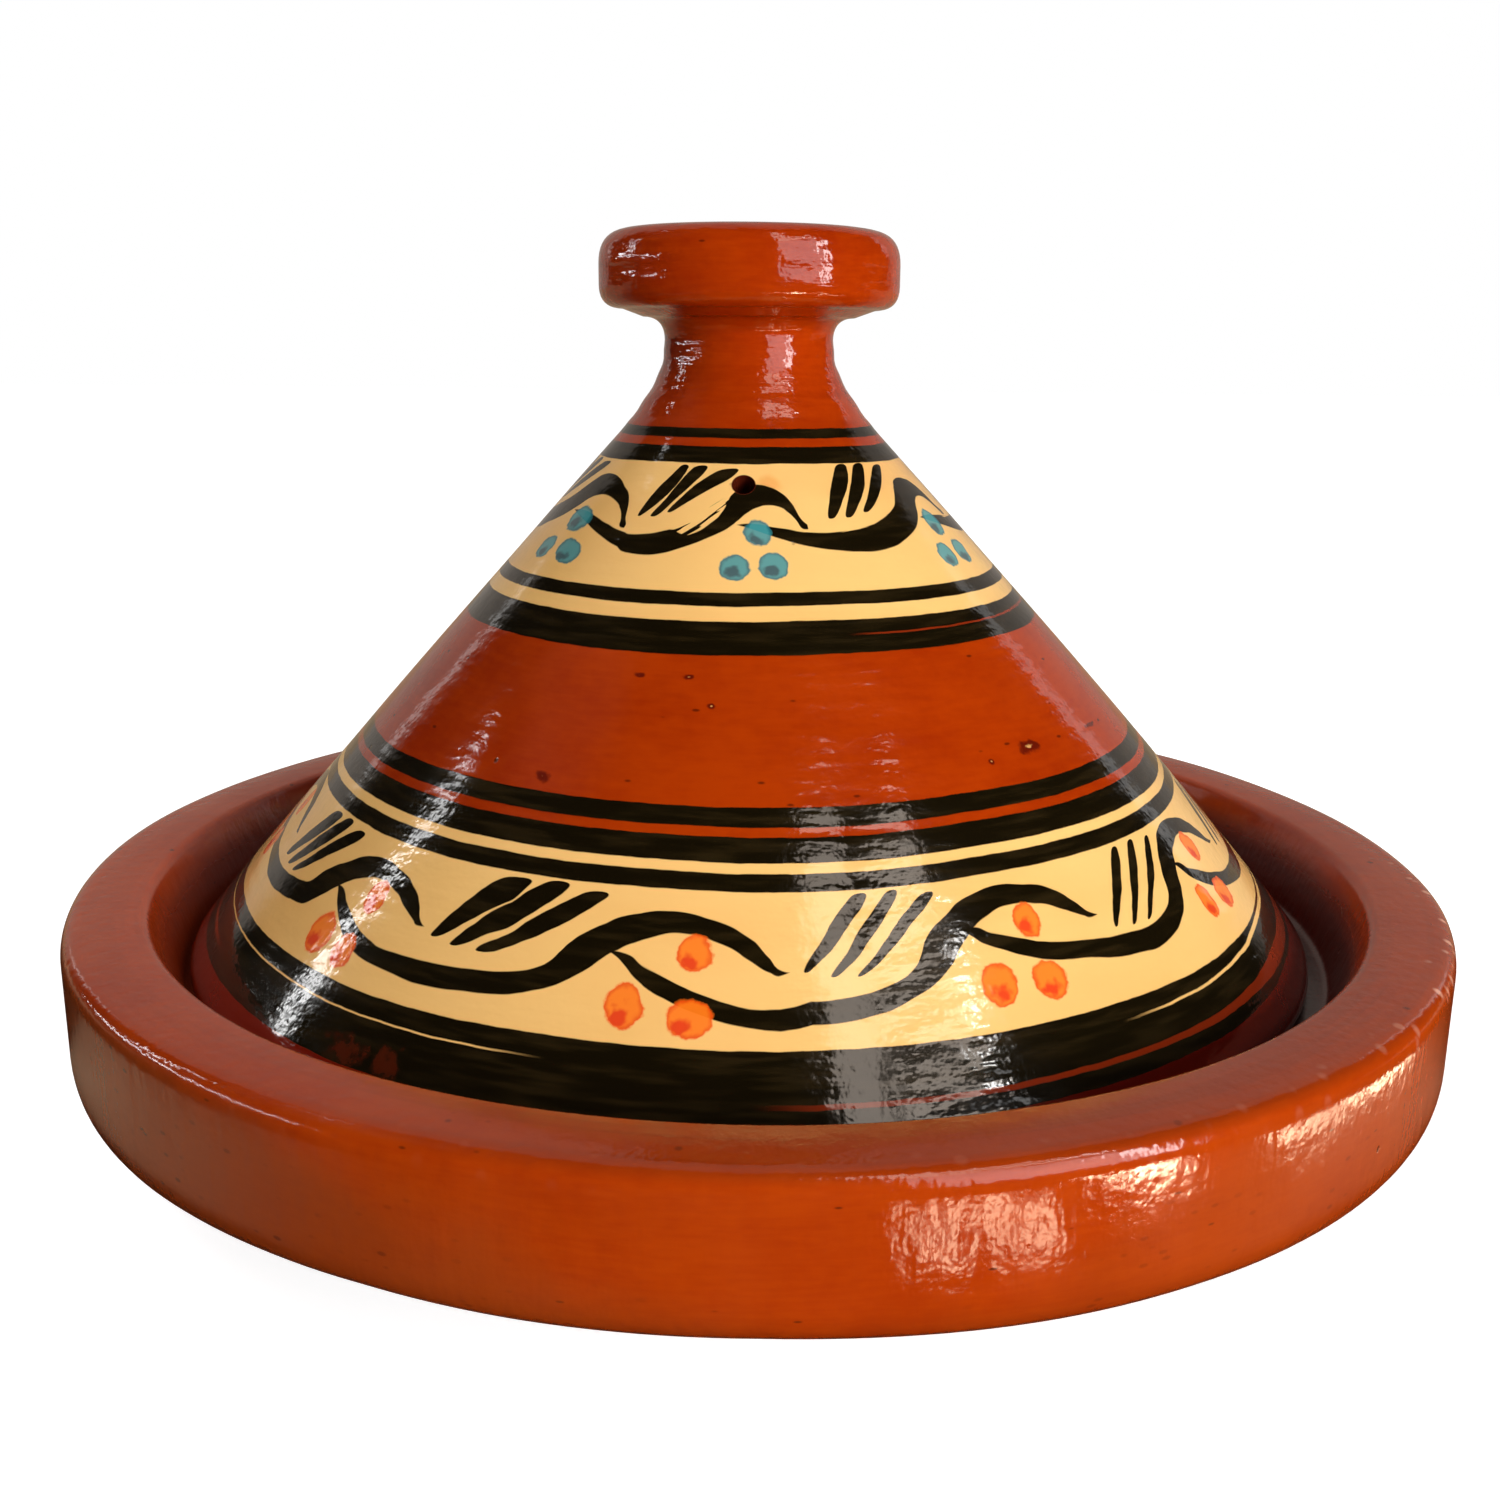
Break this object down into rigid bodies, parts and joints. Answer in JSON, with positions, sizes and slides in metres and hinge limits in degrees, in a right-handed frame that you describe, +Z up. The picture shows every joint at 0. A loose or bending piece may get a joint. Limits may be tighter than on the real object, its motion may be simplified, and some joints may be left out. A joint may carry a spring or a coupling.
{
  "type": "tagine",
  "caption": "Round glazed clay tagine: a thick-rimmed cooking dish with an inner ledge, and a hollow conical lid with a neck, knob and steam hole that lifts off it.",
  "frame": {"origin": "centre of the dish's flat foot, on the surface that it stands on", "axes": "+Z up along the dish's axis, -Y towards the front of the lid, where the steam hole is"},
  "size_m": [0.3026, 0.3026, 0.1921],
  "materials": {
    "red_glaze": "glossy amber glaze over red clay, brushed unevenly",
    "painted_glaze": "cream slip with black, red, teal and orange brushwork under a clear gloss glaze"
  },
  "bodies": {
    "dish": {"dish": "red_glaze"},
    "lid": {"lid": "painted_glaze"}
  },
  "joints": [
    {"name": "lid_lift", "type": "slide", "parent": "dish", "child": "lid", "axis": [0, 0, 1], "range_m": [0, 0.15]}
  ]
}
